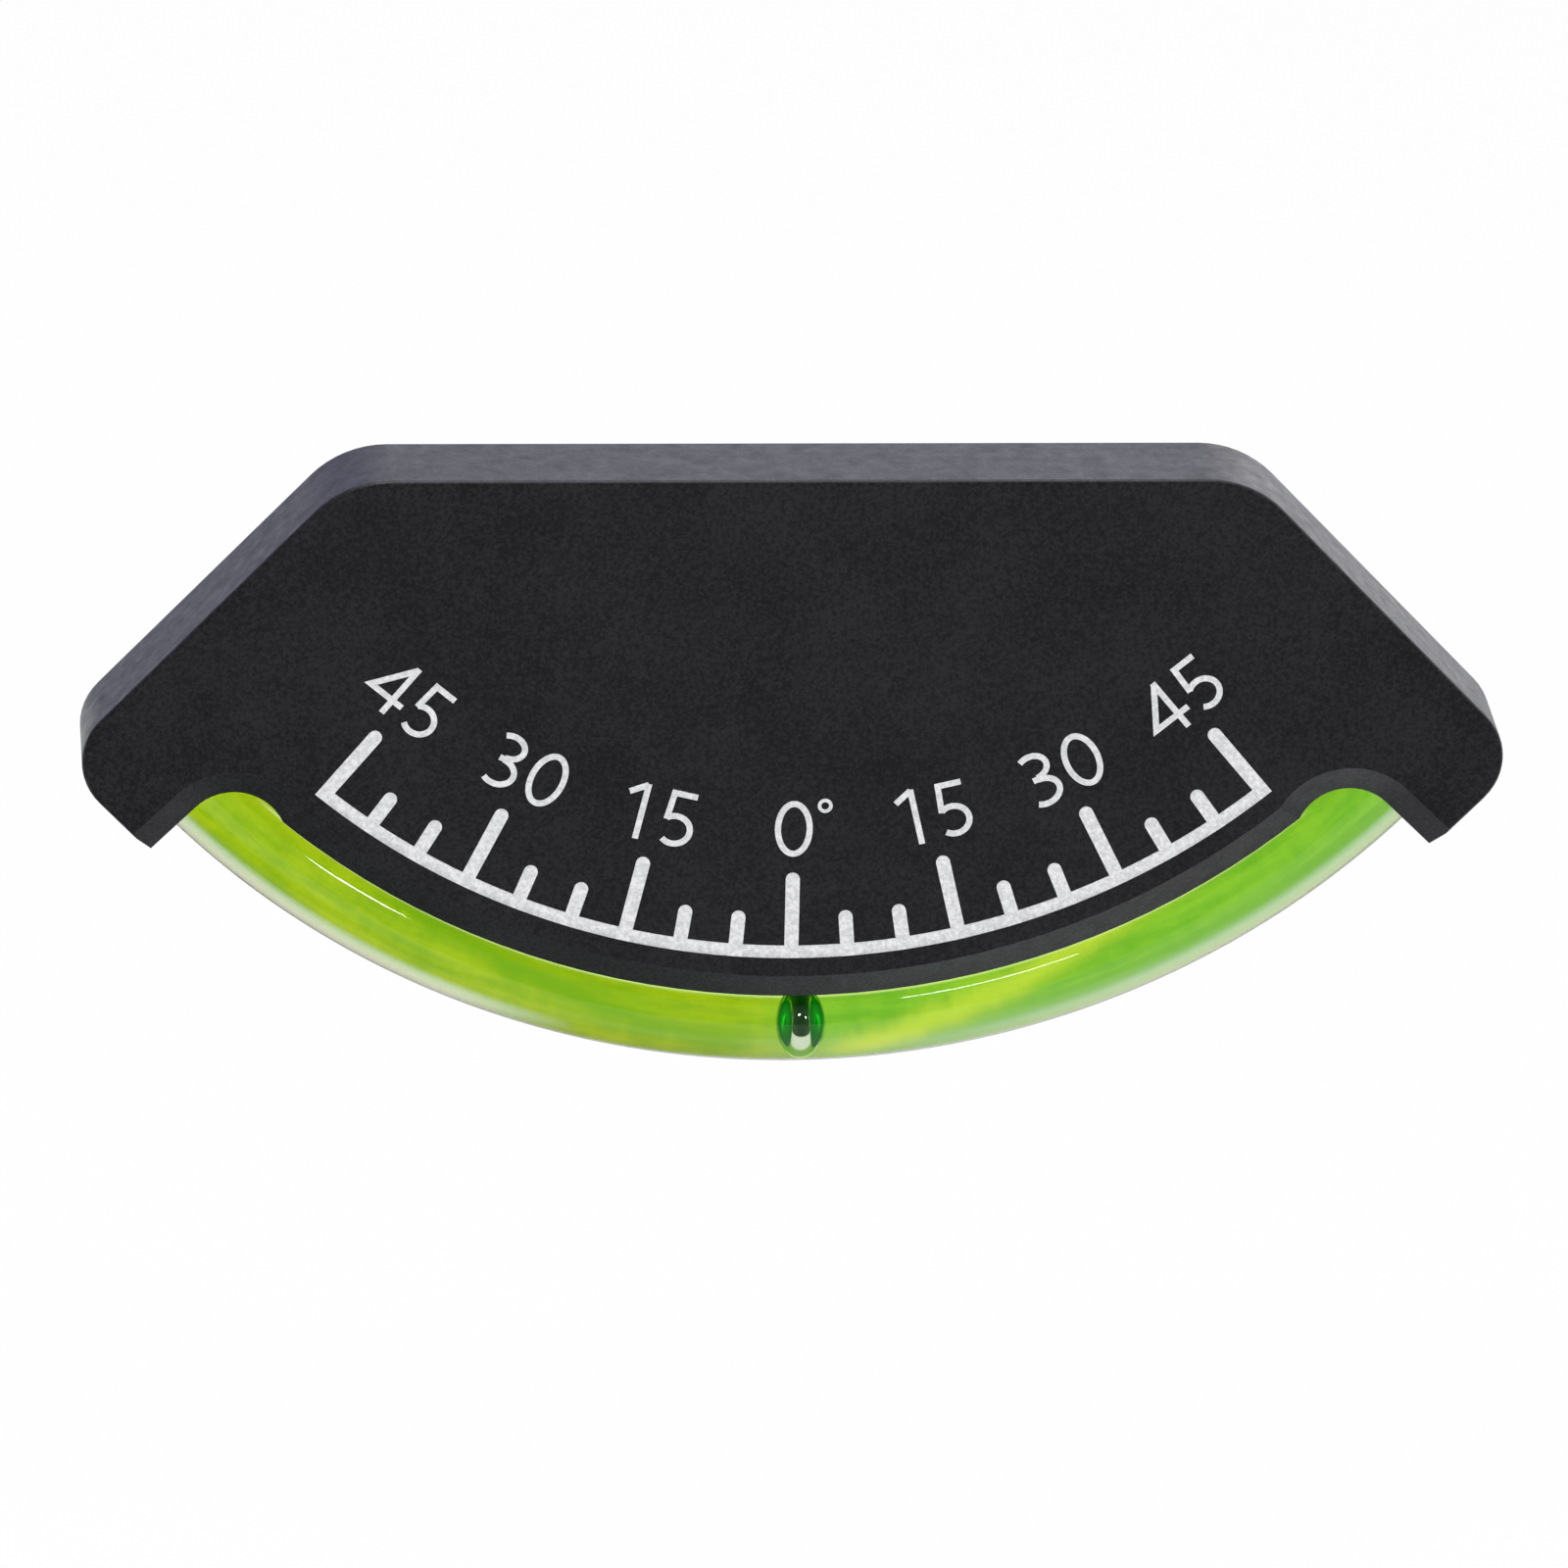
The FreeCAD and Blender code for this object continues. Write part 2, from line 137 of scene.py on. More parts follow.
# Patches of the floor as mirrored rays see it: X, Y, half lengths, colour
FLOOR_PATCHES = [
    (-0.07, 0.0, 0.1, 0.1, (0.34, 0.34, 0.37, 1)),
    (0.1, 0.0, 0.11, 0.09, (1.4, 1.4, 1.42, 1)),
    (-0.13, -0.14, 0.12, 0.1, (0.02, 0.02, 0.02, 1)),
    (0.14, -0.14, 0.12, 0.1, (0.02, 0.02, 0.02, 1)),
    (0.0, 0.15, 0.3, 0.12, (0.15, 0.15, 0.15, 1)),
]

# Soft lamp above the object
KEY_PLACE = Vector((-0.1, 0.0, 1.4))
KEY_SIZE = (0.9, 0.5)
KEY_POWER = 9.0

# Slim lamps for the two thin glints on the tube: name, first and last angle of the arc, tilt, radiance
STRIPS = [
    ("left_strip", -35.2, -27.8, 18.3, 22.0),
    ("right_strip", 8.0, 20.4, 15.4, 18.0),
]
STRIP_DISTANCE = 1.2
STRIP_WIDTH = 0.08


# Node helpers

def feed(tree, socket, value):
    """Gives an input a number, or links a socket to it."""
    if isinstance(value, bpy.types.NodeSocket):
        tree.links.new(value, socket)
    else:
        socket.default_value = value


def add(tree, kind, values=None, **settings):
    """A node with its settings, and its inputs given as numbers or as sockets to link."""
    made = tree.nodes.new(kind)
    for key, value in settings.items():
        setattr(made, key, value)
    for key, value in (values or {}).items():
        feed(tree, made.inputs[key], value)
    return made


def maths(tree, operation, *values):
    """Output of a Math node on numbers or sockets."""
    return add(tree, "ShaderNodeMath", dict(enumerate(values)), operation=operation).outputs[0]


def blend(tree, share, first, second):
    """Colour between two colours, each given as numbers or as a socket."""
    mixed = add(tree, "ShaderNodeMix", data_type="RGBA", clamp_factor=True)
    for socket, value in zip((mixed.inputs[0], mixed.inputs[6], mixed.inputs[7]), (share, first, second)):
        feed(tree, socket, value)
    return mixed.outputs[2]


def ramp(tree, value, low, high, out_low=0.0, out_high=1.0):
    """Value stretched smoothly from one range to another."""
    inputs = {"Value": value, "From Min": low, "From Max": high, "To Min": out_low, "To Max": out_high}
    return add(tree, "ShaderNodeMapRange", inputs, interpolation_type="SMOOTHSTEP").outputs[0]


def rgb(red, green, blue):
    """Linear colour of an 8-bit screen colour."""
    linear = []
    for value in (red, green, blue):
        share = value / 255
        linear.append(share / 12.92 if share <= 0.04045 else ((share + 0.055) / 1.055) ** 2.4)
    return (*linear, 1.0)


# Materials

def start_material(name):
    """Material with its tree, its Principled node and object coordinates."""
    made = bpy.data.materials.new(name)
    made.use_nodes = True
    tree = made.node_tree
    place = add(tree, "ShaderNodeTexCoord").outputs["Object"]
    return made, tree, tree.nodes["Principled BSDF"], place


def noise(tree, place, size, detail=3.0, roughness=0.5):
    """Noise whose grains have about the given size."""
    inputs = {"Vector": place, "Scale": 1 / size, "Detail": detail, "Roughness": roughness}
    return add(tree, "ShaderNodeTexNoise", inputs).outputs["Fac"]


def bump(tree, height, strength, distance):
    """Normal from a height."""
    inputs = {"Height": height, "Strength": strength, "Distance": distance}
    return add(tree, "ShaderNodeBump", inputs).outputs[0]


def moulded_plastic(name, dark, light, grain, roughness, ior, relief=0.35):
    """Black plastic with a fine spark-eroded grain, faint mottling and handling marks."""
    made, tree, shader, place = start_material(name)
    fine = noise(tree, place, grain, 4.0, 0.7)
    cloud = noise(tree, place, 9 * MM, 4.0, 0.6)
    rub = noise(tree, place, 1.6 * MM, 3.0, 0.7)
    share = maths(tree, "MULTIPLY_ADD", fine, 0.9, maths(tree, "MULTIPLY", cloud, 0.3))
    tree.links.new(blend(tree, ramp(tree, share, 0.46, 0.76), dark, light), shader.inputs["Base Color"])
    worn = maths(tree, "MULTIPLY_ADD", rub, 0.4, maths(tree, "MULTIPLY", cloud, 0.08))
    tree.links.new(maths(tree, "ADD", worn, roughness - 0.24), shader.inputs["Roughness"])
    tree.links.new(bump(tree, fine, relief, 0.02 * MM), shader.inputs["Normal"])
    shader.inputs["IOR"].default_value = ior
    return made


def scale_paint():
    """White marking paint, a little mottled where it thins out."""
    made, tree, shader, place = start_material("white_marking_paint")
    patch = noise(tree, place, 0.35 * MM, 4.0, 0.65)
    speck = noise(tree, place, 0.12 * MM, 2.0, 0.5)
    share = maths(tree, "MULTIPLY_ADD", patch, 0.75, maths(tree, "MULTIPLY", speck, 0.3))
    colour = blend(tree, ramp(tree, share, 0.4, 0.68), rgb(214, 215, 217), rgb(249, 249, 249))
    tree.links.new(colour, shader.inputs["Base Color"])
    tree.links.new(bump(tree, speck, 0.3, 0.02 * MM), shader.inputs["Normal"])
    tree.links.new(ramp(tree, patch, 0.3, 0.7, 0.45, 0.62), shader.inputs["Roughness"])
    shader.inputs["IOR"].default_value = 1.35
    return made


def clear_acrylic(name, ior):
    """Clear plastic of the tube with a faint haze."""
    made, tree, shader, place = start_material(name)
    shader.inputs["Transmission Weight"].default_value = 1.0
    shader.inputs["IOR"].default_value = ior
    haze = noise(tree, place, 2.5 * MM, 3.0, 0.6)
    tree.links.new(ramp(tree, haze, 0.3, 0.8, 0.0, 0.02), shader.inputs["Roughness"])
    tint = blend(tree, haze, (0.97, 0.985, 0.96, 1), WHITE)
    tree.links.new(tint, shader.inputs["Base Color"])
    return made


def arc_coordinates(tree, place):
    """Angle about the arc centre, and the turn, height and lip height of a spot on the liquid.

    The turn is about the tube's centre line: 0 where the view's middle line leaves the liquid, rising
    downwards. The height is the part of the visible half width at which a far spot shows through the tube. The
    lip height is the height at which the housing's lip shows.
    """
    split = add(tree, "ShaderNodeSeparateXYZ", {"Vector": place})
    drop = maths(tree, "SUBTRACT", ARC_CENTRE.z, split.outputs["Z"])
    angle = maths(tree, "ARCTAN2", split.outputs["X"], drop)
    across = maths(tree, "MULTIPLY", split.outputs["X"], split.outputs["X"])
    radius = maths(tree, "SQRT", maths(tree, "MULTIPLY_ADD", drop, drop, across))
    low = maths(tree, "SUBTRACT", radius, TUBE_PATH_RADIUS)
    depth = maths(tree, "SUBTRACT", split.outputs["Y"], ARC_CENTRE.y)
    swing = maths(tree, "COSINE", maths(tree, "SUBTRACT", angle, STEEPEST_ANGLE))
    tilt = maths(tree, "MULTIPLY", swing, STEEPEST_TILT)
    turn = maths(tree, "SUBTRACT", maths(tree, "ARCTAN2", low, depth), tilt)
    lip = maths(tree, "MULTIPLY_ADD", tilt, LIP_SLOPE, LIP_OFFSET)
    return angle, turn, maths(tree, "DIVIDE", turn, FAR_TURN), lip


def bell(tree, value, middle, width):
    """1 where a value equals the middle one, falling softly to both sides."""
    off = maths(tree, "DIVIDE", maths(tree, "SUBTRACT", value, middle), width)
    return maths(tree, "EXPONENT", maths(tree, "MULTIPLY", maths(tree, "MULTIPLY", off, off), -1.0))


def streak_mask(tree, angle, height, foot, slope, width):
    """Soft streak that crosses the tube: its height is 0 at one angle and grows by a slope per degree."""
    line = maths(tree, "MULTIPLY", maths(tree, "SUBTRACT", angle, math.radians(foot)), math.degrees(slope))
    return bell(tree, height, line, width)


def angle_ramp(tree, value, low, high, out_low=0.0, out_high=1.0):
    """Ramp between two angles in degrees."""
    return ramp(tree, value, math.radians(low), math.radians(high), out_low, out_high)


def window(tree, angle, start, full, fade, end):
    """1 between two angles in degrees, with soft ends."""
    rise = angle_ramp(tree, angle, start, full)
    return maths(tree, "MULTIPLY", rise, angle_ramp(tree, angle, fade, end, 1.0, 0.0))


def damping_liquid_material():
    """Cloudy yellow-green liquid, greener to the right, with streaks, and painted pale below towards its ends.

    The colour lies mostly on the far side of the liquid, so that the ball in it shows clearly. Its volume also
    carries a painted green glow, which stands in for light. That shows most along the tube, which is how the
    ball mirrors it.
    """
    made, tree, shader, place = start_material("green_damping_liquid")
    angle, turn, height, lip = arc_coordinates(tree, place)
    lengthwise = add(tree, "ShaderNodeCombineXYZ", {
        "X": maths(tree, "MULTIPLY", angle, TUBE_PATH_RADIUS * 0.14),
        "Y": maths(tree, "MULTIPLY", height, TUBE_RADIUS),
    }).outputs[0]
    streak = noise(tree, lengthwise, 1.6 * MM, 4.0, 0.6)
    patch = noise(tree, place, 3.5 * MM, 4.0, 0.65)
    waver = maths(tree, "MULTIPLY_ADD", maths(tree, "SUBTRACT", patch, 0.5), 0.45, height)
    mottle = maths(tree, "MULTIPLY_ADD", patch, 0.5, maths(tree, "MULTIPLY", streak, 0.8))
    mottle = ramp(tree, mottle, 0.48, 0.84)

    # Left half: yellow with one cooler streak. Right half: green, paler below, with one shining streak.
    yellow = blend(tree, mottle, (0.12, 0.145, 0.00005, 1), (0.3, 0.25, 0.0001, 1))
    cooler = streak_mask(tree, angle, waver, -17, 0.05, 0.34)
    cooler = maths(tree, "MULTIPLY", cooler, window(tree, angle, -34, -26, -4, 0))
    left = blend(tree, maths(tree, "MULTIPLY", cooler, 0.85), yellow, (0.065, 0.12, 0.00005, 1))
    green = blend(tree, mottle, (0.05, 0.16, 0.0008, 1), (0.14, 0.27, 0.0015, 1))
    paler = blend(tree, ramp(tree, height, 0.2, 0.75), green, (0.095, 0.2, 0.012, 1))
    shine = streak_mask(tree, angle, waver, 16, -0.073, 0.3)
    shine = maths(tree, "MULTIPLY", shine, window(tree, angle, 1, 6, 28, 38))
    right = blend(tree, maths(tree, "MULTIPLY", shine, 0.85), paler, (0.56, 0.47, 0.004, 1))
    body = blend(tree, angle_ramp(tree, angle, -4, 4), left, right)

    # Painted highlight: a bright line along the housing's lip
    painted_lip_highlight = maths(tree, "MULTIPLY", bell(tree, height, lip, 0.03), window(tree, angle, -42, -40, 38, 41))
    body = blend(tree, maths(tree, "MULTIPLY", painted_lip_highlight, 0.8), body, (0.75, 0.7, 0.1, 1))

    # Clear near side, and a painted pale band low down towards the ends, standing in for the white
    # surroundings seen through the clear wall
    around = maths(tree, "ABSOLUTE", turn)
    near = blend(tree, angle_ramp(tree, around, 78, 112), (0.6, 0.9, 0.12, 1), (0.9, 0.98, 0.75, 1))
    whole = blend(tree, angle_ramp(tree, around, 48, 62), body, near)
    right_end = maths(tree, "MULTIPLY", angle_ramp(tree, angle, 4, 28), 0.42)
    ends = maths(tree, "MAXIMUM", angle_ramp(tree, angle, -14, -24), right_end)
    edge = maths(tree, "MULTIPLY", angle_ramp(tree, turn, 27, 39), angle_ramp(tree, turn, 120, 98))
    # Painted light: paler where the clear wall would show the white surroundings
    clear = blend(tree, maths(tree, "MULTIPLY", ends, edge), whole, (0.82, 0.74, 0.6, 1))
    tree.links.new(clear, shader.inputs["Base Color"])
    shader.inputs["Transmission Weight"].default_value = 1.0
    shader.inputs["IOR"].default_value = 1.0
    shader.inputs["Roughness"].default_value = 0.0
    tint = add(tree, "ShaderNodeVolumeAbsorption", {"Color": (0.1, 0.97, 0.3, 1), "Density": 60.0})
    # Painted glow: green emission in the liquid's volume, though the liquid is no lamp
    painted_glow = add(tree, "ShaderNodeEmission", {"Color": (0.02, 1.0, 0.03, 1), "Strength": 25.0})
    volume = add(tree, "ShaderNodeAddShader", {0: tint.outputs[0], 1: painted_glow.outputs[0]})
    tree.links.new(volume.outputs[0], tree.nodes["Material Output"].inputs["Volume"])
    return made


def polished_steel(name, colour, roughness):
    """Steel with faint lapping marks."""
    made, tree, shader, place = start_material(name)
    shader.inputs["Metallic"].default_value = 1.0
    marks = noise(tree, place, 0.5 * MM, 5.0, 0.7)
    tree.links.new(ramp(tree, marks, 0.3, 0.8, roughness * 0.6, roughness * 1.5), shader.inputs["Roughness"])
    darker = tuple(value * 0.82 for value in colour[:3]) + (1,)
    tree.links.new(blend(tree, marks, darker, colour), shader.inputs["Base Color"])
    return made


def soft_rubber(name, colour):
    """Matt black rubber."""
    made, tree, shader, place = start_material(name)
    bloom = noise(tree, place, 1.2 * MM, 4.0, 0.6)
    lighter = tuple(value * 2.2 for value in colour[:3]) + (1,)
    tree.links.new(blend(tree, ramp(tree, bloom, 0.4, 0.8), colour, lighter), shader.inputs["Base Color"])
    tree.links.new(ramp(tree, bloom, 0.3, 0.7, 0.6, 0.85), shader.inputs["Roughness"])
    tree.links.new(bump(tree, bloom, 0.3, 0.03 * MM), shader.inputs["Normal"])
    return made


def foam_tape():
    """Grey closed-cell foam with small pores."""
    made, tree, shader, place = start_material("grey_foam_tape")
    inputs = {"Vector": place, "Scale": 1 / (0.35 * MM), "Randomness": 1.0}
    cell = add(tree, "ShaderNodeTexVoronoi", inputs, feature="F1").outputs["Distance"]
    cloud = noise(tree, place, 4 * MM, 3.0, 0.5)
    pores = ramp(tree, cell, 0.05, 0.45)
    pale = blend(tree, cloud, rgb(150, 152, 155), rgb(186, 187, 189))
    tree.links.new(blend(tree, pores, rgb(104, 106, 110), pale), shader.inputs["Base Color"])
    tree.links.new(bump(tree, pores, 0.6, 0.06 * MM), shader.inputs["Normal"])
    shader.inputs["Roughness"].default_value = 0.85
    return made


# Geometry Nodes helpers

def start_tree(name, inputs):
    """Geometry tree with named number or material inputs, and the sockets that give them."""
    tree = bpy.data.node_groups.new(name, "GeometryNodeTree")
    tree.interface.new_socket(name="Geometry", in_out="OUTPUT", socket_type="NodeSocketGeometry")
    kinds = {int: "NodeSocketInt", float: "NodeSocketFloat", bpy.types.Material: "NodeSocketMaterial"}
    for label, value in inputs.items():
        tree.interface.new_socket(name=label, in_out="INPUT", socket_type=kinds[type(value)])
    return tree, tree.nodes.new("NodeGroupInput").outputs


def end_tree(tree, geometry, material=None):
    """Closes a tree with Realize Instances and, where one material is enough, Set Material."""
    whole = add(tree, "GeometryNodeRealizeInstances", {"Geometry": geometry}).outputs[0]
    if material is not None:
        whole = add(tree, "GeometryNodeSetMaterial", {"Geometry": whole, "Material": material}).outputs[0]
    add(tree, "NodeGroupOutput", {0: whole})


def grow(name, tree, inputs, place):
    """Plain mesh object of what a tree makes from its inputs, put in place."""
    holder = bpy.data.objects.new(name + ".holder", bpy.data.meshes.new(name + ".holder"))
    bpy.context.scene.collection.objects.link(holder)
    modifier = holder.modifiers.new("nodes", "NODES")
    modifier.node_group = tree
    for socket in tree.interface.items_tree:
        if socket.in_out == "INPUT":
            modifier[socket.identifier] = inputs[socket.name]
    graph = bpy.context.evaluated_depsgraph_get()
    mesh = bpy.data.meshes.new_from_object(holder.evaluated_get(graph))
    holder.modifiers.remove(modifier)
    bpy.data.objects.remove(holder)
    mesh.transform(place)
    mesh.name = name
    made = bpy.data.objects.new(name, mesh)
    bpy.context.scene.collection.objects.link(made)
    return made


def drawing_plane(y):
    """From a flat drawing about the arc centre, with Z towards the viewer, to the plate at a depth y."""
    turn = Matrix.Rotation(math.radians(90), 4, "X")
    return Matrix.Translation(Vector((0, y, ARC_CENTRE.z))) @ turn


def sweep_arc(tree, path_radius, half_angle, profile, steps, caps):
    """Profile swept along an arc under the arc centre."""
    start = maths(tree, "SUBTRACT", -math.pi / 2, half_angle)
    sweep = maths(tree, "MULTIPLY", half_angle, 2.0)
    inputs = {"Resolution": steps, "Radius": path_radius, "Start Angle": start, "Sweep Angle": sweep}
    path = add(tree, "GeometryNodeCurveArc", inputs).outputs["Curve"]
    inputs = {"Curve": path, "Profile Curve": profile, "Fill Caps": caps}
    return add(tree, "GeometryNodeCurveToMesh", inputs).outputs[0]


def circle_profile(tree, sides, radius):
    """Circle to sweep."""
    return add(tree, "GeometryNodeCurvePrimitiveCircle", {"Resolution": sides, "Radius": radius}).outputs[0]


def merge(tree, geometry):
    """The same form with points in one place made one."""
    inputs = {"Geometry": geometry, "Distance": MERGE_DISTANCE}
    return add(tree, "GeometryNodeMergeByDistance", inputs).outputs[0]


# Tube and liquid

def tube_tree(inputs):
    """Curved tube: an outer wall, the same wall set inwards as the bore, and rings that join them."""
    tree, given = start_tree("curved_tube_sweep", inputs)
    circle = circle_profile(tree, TUBE_SIDES, given["Outer Radius"])
    outer = sweep_arc(tree, given["Path Radius"], given["Half Angle"], circle, TUBE_STEPS, False)
    outer = add(tree, "GeometryNodeSetMaterial", {"Geometry": outer, "Material": given["Wall"]}).outputs[0]
    inwards = maths(tree, "MULTIPLY", given["Wall Thickness"], -1.0)
    bore = add(tree, "GeometryNodeExtrudeMesh", {"Mesh": outer, "Offset Scale": inwards, "Individual": False})
    lined = add(tree, "GeometryNodeSetMaterial", {
        "Geometry": bore.outputs["Mesh"], "Selection": bore.outputs["Top"], "Material": given["Bore"],
    }).outputs[0]
    turned = add(tree, "GeometryNodeFlipFaces", {"Mesh": lined}).outputs[0]
    joined = add(tree, "GeometryNodeJoinGeometry")
    tree.links.new(outer, joined.inputs[0])
    tree.links.new(turned, joined.inputs[0])
    end_tree(tree, merge(tree, joined.outputs[0]))
    return tree


def make_tube(wall, bore):
    """Clear tube with materials for its wall and its bore."""
    inputs = {
        "Path Radius": TUBE_PATH_RADIUS, "Half Angle": TUBE_END, "Outer Radius": TUBE_RADIUS,
        "Wall Thickness": TUBE_RADIUS - BORE_RADIUS, "Wall": wall, "Bore": bore,
    }
    made = grow("clear_tube", tube_tree(inputs), inputs, drawing_plane(ARC_CENTRE.y))
    return smooth(made)


def liquid_tree(inputs):
    """Liquid that fills the bore between the plugs."""
    tree, given = start_tree("liquid_sweep", inputs)
    circle = circle_profile(tree, LIQUID_SIDES, given["Radius"])
    body = sweep_arc(tree, given["Path Radius"], given["Half Angle"], circle, LIQUID_STEPS, True)
    end_tree(tree, body, given["Liquid"])
    return tree


def make_liquid(material):
    """Liquid without a hollow for the ball, so that it fits every place of the ball."""
    inputs = {
        "Path Radius": TUBE_PATH_RADIUS, "Half Angle": LIQUID_END,
        "Radius": LIQUID_RADIUS, "Liquid": material,
    }
    made = grow("liquid_filling", liquid_tree(inputs), inputs, drawing_plane(ARC_CENTRE.y))
    return smooth(made)


def smooth(made, angle=40):
    """Smooth shading, but for edges sharper than the angle."""
    made.data.shade_smooth()
    made.data.set_sharp_from_angle(angle=math.radians(angle))
    return made


# Printed scale

def tick_blank(tree, width, length, radius, height):
    """One tick under the arc centre: square at the scale line, round at its inner end."""
    inputs = {"Width": width, "Height": length}
    outline = add(tree, "GeometryNodeCurvePrimitiveQuadrilateral", inputs).outputs[0]
    spot = add(tree, "GeometryNodeInputPosition").outputs[0]
    upper = add(tree, "ShaderNodeSeparateXYZ", {"Vector": spot}).outputs["Y"]
    inner = maths(tree, "GREATER_THAN", upper, 0.0)
    bend = maths(tree, "MULTIPLY", inner, maths(tree, "MULTIPLY", width, TICK_ROUNDING))
    inputs = {"Curve": outline, "Radius": bend, "Count": TICK_ROUND_POINTS}
    rounded = add(tree, "GeometryNodeFilletCurve", inputs, mode="POLY")
    face = add(tree, "GeometryNodeFillCurve", {"Curve": rounded.outputs[0]}).outputs[0]
    middle = maths(tree, "SUBTRACT", maths(tree, "MULTIPLY", length, 0.5), radius)
    shift = add(tree, "ShaderNodeCombineXYZ", {"Y": middle}).outputs[0]
    face = add(tree, "GeometryNodeTransform", {"Geometry": face, "Translation": shift}).outputs[0]
    raised = add(tree, "GeometryNodeExtrudeMesh", {"Mesh": face, "Offset Scale": height, "Individual": False})
    base = add(tree, "GeometryNodeFlipFaces", {"Mesh": face}).outputs[0]
    joined = add(tree, "GeometryNodeJoinGeometry")
    tree.links.new(raised.outputs[0], joined.inputs[0])
    tree.links.new(base, joined.inputs[0])
    return merge(tree, joined.outputs[0])


def scale_tree(inputs):
    """Scale line with a row of ticks turned about the arc centre, every third one long."""
    tree, given = start_tree("scale_print", inputs)
    count = maths(tree, "MULTIPLY_ADD", given["Ticks Each Side"], 2.0, 1.0)
    points = add(tree, "GeometryNodeMeshLine", {"Count": count, "Offset": (0, 0, 0)}).outputs[0]
    index = add(tree, "GeometryNodeInputIndex").outputs[0]
    step = maths(tree, "SUBTRACT", index, given["Ticks Each Side"])
    angle = maths(tree, "MULTIPLY", step, given["Tick Pitch"])
    turn = add(tree, "ShaderNodeCombineXYZ", {"Z": angle}).outputs[0]
    long_one = maths(tree, "LESS_THAN", maths(tree, "FLOORED_MODULO", step, given["Ticks Per Label"]), 0.5)
    short_one = maths(tree, "SUBTRACT", 1.0, long_one)
    joined = add(tree, "GeometryNodeJoinGeometry")
    for length, chosen in ((given["Long Tick"], long_one), (given["Short Tick"], short_one)):
        blank = tick_blank(tree, given["Tick Width"], length, given["Radius"], given["Height"])
        row = add(tree, "GeometryNodeInstanceOnPoints", {
            "Points": points, "Selection": chosen, "Instance": blank, "Rotation": turn,
        })
        tree.links.new(row.outputs[0], joined.inputs[0])
    low = maths(tree, "MULTIPLY", given["Height"], LINE_HEIGHT_SHARE)
    inputs = {"Width": given["Line Width"], "Height": low}
    band = add(tree, "GeometryNodeCurvePrimitiveQuadrilateral", inputs).outputs[0]
    path_radius = maths(tree, "MULTIPLY_ADD", given["Line Width"], -0.5, given["Radius"])
    half = maths(tree, "MULTIPLY", given["Ticks Each Side"], given["Tick Pitch"])
    line = sweep_arc(tree, path_radius, half, band, LINE_STEPS, True)
    lift = add(tree, "ShaderNodeCombineXYZ", {"Z": maths(tree, "MULTIPLY", low, 0.5)}).outputs[0]
    line = add(tree, "GeometryNodeTransform", {"Geometry": line, "Translation": lift}).outputs[0]
    tree.links.new(line, joined.inputs[0])
    end_tree(tree, joined.outputs[0], given["Paint"])
    return tree


def make_scale(paint):
    """Scale line and ticks, raised on the plate's front."""
    inputs = {
        "Radius": SCALE_RADIUS, "Tick Pitch": TICK_PITCH, "Ticks Each Side": TICKS_EACH_SIDE,
        "Ticks Per Label": TICKS_PER_LABEL, "Tick Width": TICK_WIDTH, "Long Tick": MAJOR_LENGTH,
        "Short Tick": MINOR_LENGTH, "Line Width": LINE_WIDTH, "Height": PRINT_HEIGHT, "Paint": paint,
    }
    return grow("scale_print", scale_tree(inputs), inputs, drawing_plane(PLATE_FRONT))


# Numerals. A stroke is a centre line in shares of the digit's height: X from its middle, Y up from its foot.

def arc_points(centre, radius_x, radius_y, start, end, steps=18):
    """Points on an elliptical arc, angles in degrees from the right, anticlockwise."""
    points = []
    for step in range(steps + 1):
        turn = math.radians(start + (end - start) * step / steps)
        points.append((centre[0] + radius_x * math.cos(turn), centre[1] + radius_y * math.sin(turn)))
    return points


def strokes_of(sign):
    """Centre lines of one digit (0, 1, 3, 4 or 5), and whether each is closed."""
    if sign == "0":
        return [(arc_points((0, 0.5), 0.27, 0.5 - HALF, 0, 360, 48)[:-1], True)]
    if sign == "1":
        return [([(-0.165, 0.805), (0.125, 0.985)], False), ([(0.125, 1.0), (0.125, 0.0)], False)]
    if sign == "3":
        upper = arc_points((-0.045, 0.745), 0.255, 0.255 - HALF, 128, -90)
        lower = arc_points((-0.045, 0.275), 0.285, 0.275 - HALF + 0.005, 90, -128)
        return [(upper, False), (lower, False), ([(-0.13, 0.515), (-0.045, 0.515)], False)]
    if sign == "4":
        corner = [(0.375, 0.285), (-0.31, 0.285), (0.165, 0.965)]
        return [(corner, False), ([(0.165, 0.0), (0.165, 1.0)], False)]
    bowl = arc_points((-0.035, 0.3), 0.265, 0.3 - HALF, 131, -130, 26)
    return [([(0.215, TOP), (-0.185, TOP), (-0.212, 0.465)], False), (bowl, False)]


def ribbon(form, points, width, low, high, closed):
    """Flat bar of a width along a centre line, with mitred corners, between two heights."""
    count = len(points)
    corners = ((1, high), (-1, high), (-1, low), (1, low))
    rings = []
    for index, point in enumerate(points):
        here = Vector(point)
        ways = []
        if closed or index:
            ways.append(here - Vector(points[index - 1]))
        if closed or index < count - 1:
            ways.append(Vector(points[(index + 1) % count]) - here)
        normals = [Vector((-way.y, way.x)).normalized() for way in ways]
        side = sum(normals, Vector((0, 0))).normalized()
        side *= width / 2 / max(side.dot(normals[0]), MITRE_LIMIT)
        rings.append([form.verts.new((*(here + side * sign), height)) for sign, height in corners])
    for index in range(count if closed else count - 1):
        near, far = rings[index], rings[(index + 1) % count]
        for corner in range(4):
            after = (corner + 1) % 4
            form.faces.new((near[corner], near[after], far[after], far[corner]))
    if not closed:
        form.faces.new(reversed(rings[0]))
        form.faces.new(rings[-1])


